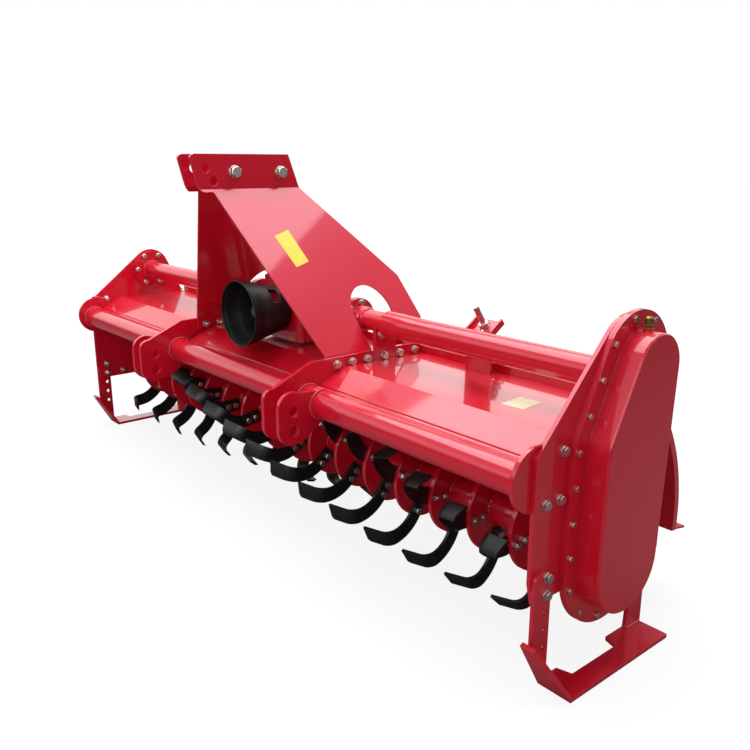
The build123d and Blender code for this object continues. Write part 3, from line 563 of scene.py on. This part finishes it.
makePiece("neckCollars", neckRings(sleeve), redEnamel, "frame", 35)
print("neck collars turned")

spring = {"lug": (0.36598, 0.29996), "bracket": (0.130, 0.644), "rodX": 0.650, "foot": 0.282, "length": 0.092,
          "wire": 0.0034, "radius": 0.0165, "turns": 7.5, "closeUp": 0.09, "stepsPerTurn": 24}


def coil(side, look):
    # wire on a helix about the rod: the angle grows evenly with s from 0 to 1, and the height goes as
    # s - closeUp sin(2 pi s), so the end turns lie closer
    low = np.array([side * look["rodX"], *look["lug"]])
    high = np.array([side * look["rodX"], *look["bracket"]])
    way = (high - low) / np.linalg.norm(high - low)
    across = np.array([1.0, 0, 0])
    other = np.cross(way, across)
    share = np.linspace(0, 1, int(look["turns"] * look["stepsPerTurn"]))
    turn = share * look["turns"] * 2 * pi
    climb = share - look["closeUp"] * np.sin(2 * pi * share)
    height = look["foot"] + look["wire"] + climb * (look["length"] - 2 * look["wire"])
    about = np.cos(turn)[:, None] * across + np.sin(turn)[:, None] * other
    return sweep(low + height[:, None] * way + look["radius"] * about, ringOf((0, 0), look["wire"], 12), way)


for side, word in ((1, "right"), (-1, "left")):
    piece = makePiece("coilSpring_" + word, coil(side, spring), springWire, "rod_" + word, 60)
    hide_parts("rod_spring_" + word)
print("springs wound")

guard = {"wall": 0.0035, "window": (0.132, 0.168), "windowTurn": (28, 62), "rim": 0.0028, "rimStands": 0.0008,
         "outline": [(0.099, 0.0575), (0.101, 0.0630), (0.106, 0.0655), (0.135, 0.0710), (0.172, 0.0795),
                     (0.186, 0.0835), (0.198, 0.0880), (0.210, 0.0910), (0.232, 0.0945), (0.239, 0.0965),
                     (0.243, 0.0968), (0.245, 0.0955)]}


def bellGuard(look, rowsAlong=61, count=96):
    # an outline of (distance ahead, radius) turned about the input shaft: (r cos t, -ahead, z + r sin t),
    # less the faces of a window
    ahead, radius = np.array(look["outline"]).T
    run = lengthsAlong(np.array(look["outline"]))
    at = np.unique(np.concatenate([run, np.linspace(0, run[-1], rowsAlong)]))
    ahead, radius = np.interp(at, run, ahead), np.interp(at, run, radius)
    turn = np.arange(count) * 2 * pi / count
    points = np.stack([radius[:, None] * np.cos(turn), -ahead[:, None] + 0 * turn,
                       plate["driveZ"] + radius[:, None] * np.sin(turn)], -1)
    grid = np.arange(len(ahead) * count).reshape(len(ahead), count)
    turned = np.roll(grid, -1, 1)
    faces = np.stack([grid[:-1], grid[1:], turned[1:], turned[:-1]], -1)
    middle = (ahead[:-1, None] + ahead[1:, None]) / 2 + 0 * turn
    angle = np.degrees(turn) + 180 / count + 0 * middle
    (near, far), (low, high) = look["window"], look["windowTurn"]
    cut = (middle > near) & (middle < far) & (angle > low) & (angle < high)
    return points.reshape(-1, 3), faces[~cut].tolist()


def windowRim(look):
    # raised rim round the window: a loop of (distance ahead, degrees) laid on the bell's outline
    (near, far), (low, high) = look["window"], look["windowTurn"]
    loop = np.array([(near, low), (far, low), (far, high), (near, high), (near, low)], float)
    at = np.linspace(0, 4, 65)
    ahead, degrees = [np.interp(at, range(5), loop[:, k]) for k in range(2)]
    radius = np.interp(ahead, *np.array(look["outline"]).T) + look["rimStands"]
    turn = np.radians(degrees)
    path = np.stack([radius * np.cos(turn), -ahead, plate["driveZ"] + radius * np.sin(turn)], -1)
    return sweep(path, ringOf((0, 0), look["rim"], 8), (0.7, 0, 0.7))


makePiece("guardWindowRim", windowRim(guard), guardPlastic, "frame", 50)
bell = makePiece("driveShaftGuard", bellGuard(guard), guardPlastic, "frame", 50)
wall = bell.modifiers.new("wall", "SOLIDIFY")
wall.thickness, wall.offset, wall.use_even_offset = guard["wall"], -1.0, True
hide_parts("pto_guard")
print("guard moulded")

# corners in (x, y); the deck's crease and rear edge in (y, z)
vinyl = {"thick": 0.0005, "sunk": 0.0003, "round": 0.003,
         "mast": [(0.138, -0.196), (0.127, -0.143), (0.192, -0.118), (0.201, -0.166)],
         "deck": [(0.890, -0.073), (0.882, 0.005), (0.945, 0.010), (0.953, -0.069)],
         "crease": (-0.145, 0.530), "deckRear": (0.146, 0.526)}


def sheetOn(flat, lift):
    # a four-cornered sheet just proud of the panel under it on its lift side, each corner rounded by
    # the curve (1-s)^2 start + 2s(1-s) corner + s^2 stop
    corners = np.array(flat)
    normal = np.cross(corners[1] - corners[0], corners[3] - corners[0])
    normal /= np.linalg.norm(normal)
    if normal @ np.array(lift) < 0:
        corners, normal = corners[::-1], -normal
    ahead = np.roll(corners, -1, 0) - corners
    ahead /= np.linalg.norm(ahead, axis=1, keepdims=True)
    share = np.linspace(0, 1, 6)[None, :, None]
    start = corners - np.roll(ahead, 1, 0) * vinyl["round"]
    stop = corners + ahead * vinyl["round"]
    loop = (1 - share) ** 2 * start[:, None] + 2 * share * (1 - share) * corners[:, None]
    loop = (loop + share ** 2 * stop[:, None]).reshape(-1, 3)
    return loft(np.stack([loop - normal * vinyl["sunk"], loop + normal * vinyl["thick"]]))


(topX, topZ), (footX, footZ) = mast["top"], mast["foot"]
onMast = [(x, y, topZ + (footZ - topZ) * (x - topX) / (footX - topX)) for x, y in vinyl["mast"]]
(nearY, nearZ), (farY, farZ) = vinyl["crease"], vinyl["deckRear"]
onDeck = [(x, y, nearZ + (farZ - nearZ) * (y - nearY) / (farY - nearY)) for x, y in vinyl["deck"]]
makePiece("blankPlateMast", sheetOn(onMast, (0.8, 0, 0.6)), yellowVinyl, "frame", 40)
makePiece("blankPlateDeck", sheetOn(onDeck, (0, 0, 1)), paleVinyl, "frame", 40)
print("blank plates stuck on")

# the floor glows white to the camera: a share near the part, so that its shadow shows, and all of it past
# the far edge; in reflections it is darker than it is to light
studio = {"floorSize": 90.0, "floor": "#C8C8C6", "mirroredFloor": "#6E6E6E", "whiteGlow": 1.2,
          "nearShare": 0.72, "nearEdge": 1.5, "farEdge": 3.4}


def flatSheet(name, size):
    # a square on the ground: x and y run from -size/2 to size/2
    half = size / 2
    mesh = bpy.data.meshes.new(name)
    corners = [(-half, -half, 0), (half, -half, 0), (half, half, 0), (-half, half, 0)]
    mesh.from_pydata(corners, [], [(0, 1, 2, 3)])
    sheet = bpy.data.objects.new(name, mesh)
    bpy.context.scene.collection.objects.link(sheet)
    return sheet


def eased(tree, value, start, stop, low, high):
    # a value from start to stop turned into low to high on a smooth step
    ends = {"Value": value, 1: start, 2: stop, 3: low, 4: high}
    return addNode(tree, "ShaderNodeMapRange", {"interpolation_type": "SMOOTHSTEP"}, ends).outputs[0]


def product(tree, first, second):
    return addNode(tree, "ShaderNodeMath", {"operation": "MULTIPLY"}, {0: first, 1: second}).outputs[0]


def whiteLight(tree, kind, strength):
    return addNode(tree, kind, {}, {"Color": (1, 1, 1, 1), "Strength": strength}).outputs[0]


def either(tree, share, first, second):
    # the first shader, and the second by a share from 0 to 1
    return addNode(tree, "ShaderNodeMixShader", {}, {0: share, 1: first, 2: second}).outputs[0]


floor = flatSheet("floor", studio["floorSize"])
floorMaterial = bpy.data.materials.new("paleFloor")
floorMaterial.use_nodes = True
tree = floorMaterial.node_tree
tree.nodes.clear()
output = addNode(tree, "ShaderNodeOutputMaterial")
rays = addNode(tree, "ShaderNodeLightPath")
tint = tones(tree, rays.outputs["Is Glossy Ray"], studio["floor"], studio["mirroredFloor"])
matt = addNode(tree, "ShaderNodeBsdfDiffuse", {}, {"Color": tint}).outputs[0]
glow = whiteLight(tree, "ShaderNodeEmission", studio["whiteGlow"])
ground = addNode(tree, "ShaderNodeTexCoord").outputs["Object"]
away = addNode(tree, "ShaderNodeVectorMath", {"operation": "LENGTH"}, {0: ground}).outputs["Value"]
whiter = eased(tree, away, studio["nearEdge"], studio["farEdge"], studio["nearShare"], 1.0)
share = product(tree, rays.outputs["Is Camera Ray"], whiter)
tree.links.new(either(tree, share, matt, glow), output.inputs["Surface"])
floor.data.materials.append(floorMaterial)

# the sky is a soft light on the part; in reflections it is a bright band above the ground, dimmer overhead;
# the camera sees plain white; from, to and the like are heights on a sphere of radius 1
sky = {"soft": 0.42, "low": 0.08, "high": 1.5, "from": 0.04, "to": 0.26, "dimFrom": 0.36, "dimTo": 0.62,
       "dim": 0.35}
world = bpy.data.worlds.new("studioSky")
bpy.context.scene.world = world
world.use_nodes = True
tree = world.node_tree
tree.nodes.clear()
output = addNode(tree, "ShaderNodeOutputWorld")
rays = addNode(tree, "ShaderNodeLightPath")
direction = addNode(tree, "ShaderNodeTexCoord").outputs["Generated"]
height = addNode(tree, "ShaderNodeSeparateXYZ", {}, {"Vector": direction}).outputs["Z"]
band = product(tree, eased(tree, height, sky["from"], sky["to"], sky["low"], sky["high"]),
               eased(tree, height, sky["dimFrom"], sky["dimTo"], 1.0, sky["dim"]))
soft, mirrored, white = [whiteLight(tree, "ShaderNodeBackground", strength)
                         for strength in (sky["soft"], band, 1.0)]
gloss = either(tree, rays.outputs["Is Glossy Ray"], soft, mirrored)
tree.links.new(either(tree, rays.outputs["Is Camera Ray"], gloss, white), output.inputs["Surface"])


def softBox(name, place, target, width, depth, power):
    # an area light at a place, its face turned to a target
    lamp = bpy.data.lights.new(name, "AREA")
    lamp.shape, lamp.size, lamp.size_y, lamp.energy = "RECTANGLE", width, depth, power
    box = bpy.data.objects.new(name, lamp)
    box.location = place
    box.rotation_mode = "QUATERNION"
    box.rotation_quaternion = (Vector(target) - Vector(place)).to_track_quat("-Z", "Y")
    bpy.context.scene.collection.objects.link(box)
    return box


# place and target in metres, width and depth in metres, power in watts
lamps = {"overheadBox": ((-0.4, 0.3, 3.8), (0, 0, 0.3), 5.0, 3.5, 205),
         "frontBox": ((1.2, -3.8, 2.6), (0, 0, 0.5), 3.0, 2.0, 40)}
for name, settings in lamps.items():
    softBox(name, *settings)

# yaw is from +Y towards -X and pitch is downward, both in degrees; focal length in mm on a 36 mm sensor
view = {"place": (2.04588, -1.41497, 1.06613), "yaw": 50.23, "pitch": 15.014, "focal": 37.79136,
        "sensor": 36.0}
yaw, pitch = radians(view["yaw"]), radians(view["pitch"])
ahead = np.array([-sin(yaw) * cos(pitch), cos(yaw) * cos(pitch), -sin(pitch)])
across = np.array([cos(yaw), sin(yaw), 0.0])
upward = np.cross(across, ahead)
lens = bpy.data.cameras.new("camera")
lens.lens, lens.sensor_width, lens.clip_start = view["focal"], view["sensor"], 0.05
camera = bpy.data.objects.new("camera", lens)
turned = np.stack([across, upward, -ahead], 1).tolist()
camera.matrix_world = Matrix([row + [at] for row, at in zip(turned, view["place"])] + [[0, 0, 0, 1]])
bpy.context.scene.collection.objects.link(camera)
bpy.context.scene.camera = camera
bpy.context.scene.view_settings.view_transform = "Standard"
print("stage, light and camera set")
